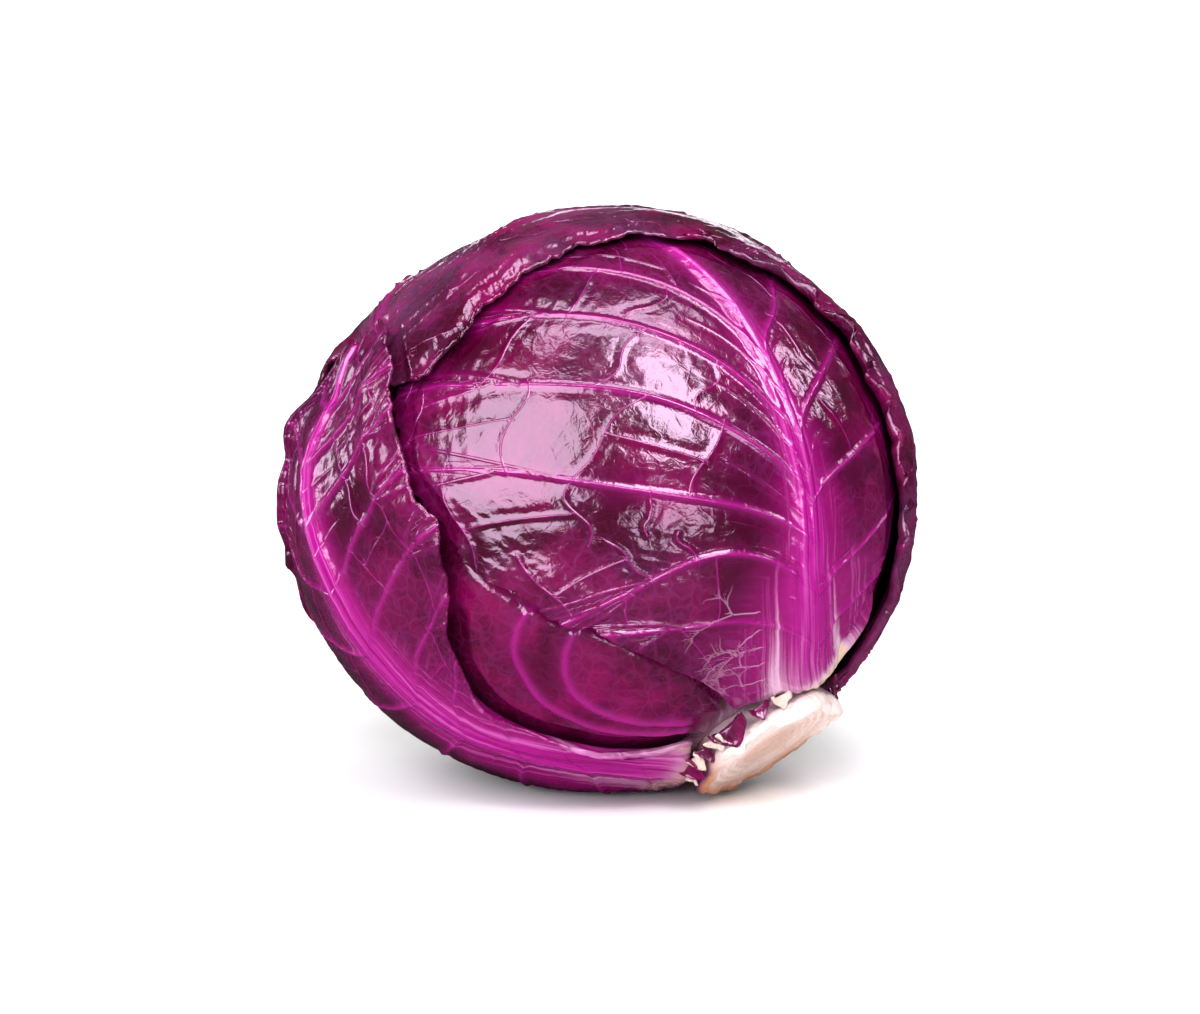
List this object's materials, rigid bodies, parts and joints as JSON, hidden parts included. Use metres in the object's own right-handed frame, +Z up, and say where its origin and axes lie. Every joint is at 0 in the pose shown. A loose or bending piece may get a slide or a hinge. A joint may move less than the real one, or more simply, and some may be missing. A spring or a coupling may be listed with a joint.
{
  "type": "cabbage head",
  "caption": "Red cabbage head lying on its side, with waved wrapper leaves, raised ribs and branching veins, and a pale cut stem.",
  "frame": {"origin": "on the resting surface, under the middle of the head's bounding box", "axes": "+Z up; +X to the right of somebody who faces the front leaf and looks along +Y; the cut stem points forward (-Y), right (+X) and down"},
  "size_m": [0.1608, 0.1446, 0.1434],
  "materials": {
    "inner_leaf": "satin leaf, deep magenta with lighter arching veins",
    "leaf_under": "satin leaf, dark purple",
    "leaf_front": "glossy waxy leaf, magenta with bright ribs that turn white at the base",
    "leaf_back": "glossy waxy leaf, dark purple with a greyish bloom near the edges",
    "leaf_side": "glossy waxy leaf, dark magenta with a bright rib",
    "stem_flesh": "matt cut flesh, cream with white stalk bases and an orange-brown lower rim"
  },
  "bodies": {
    "root": {"head": "inner_leaf", "wrapper_leaf_under": "leaf_under", "wrapper_leaf_front": "leaf_front", "wrapper_leaf_back": "leaf_back", "wrapper_leaf_side": "leaf_side", "stem": "stem_flesh"}
  },
  "joints": []
}
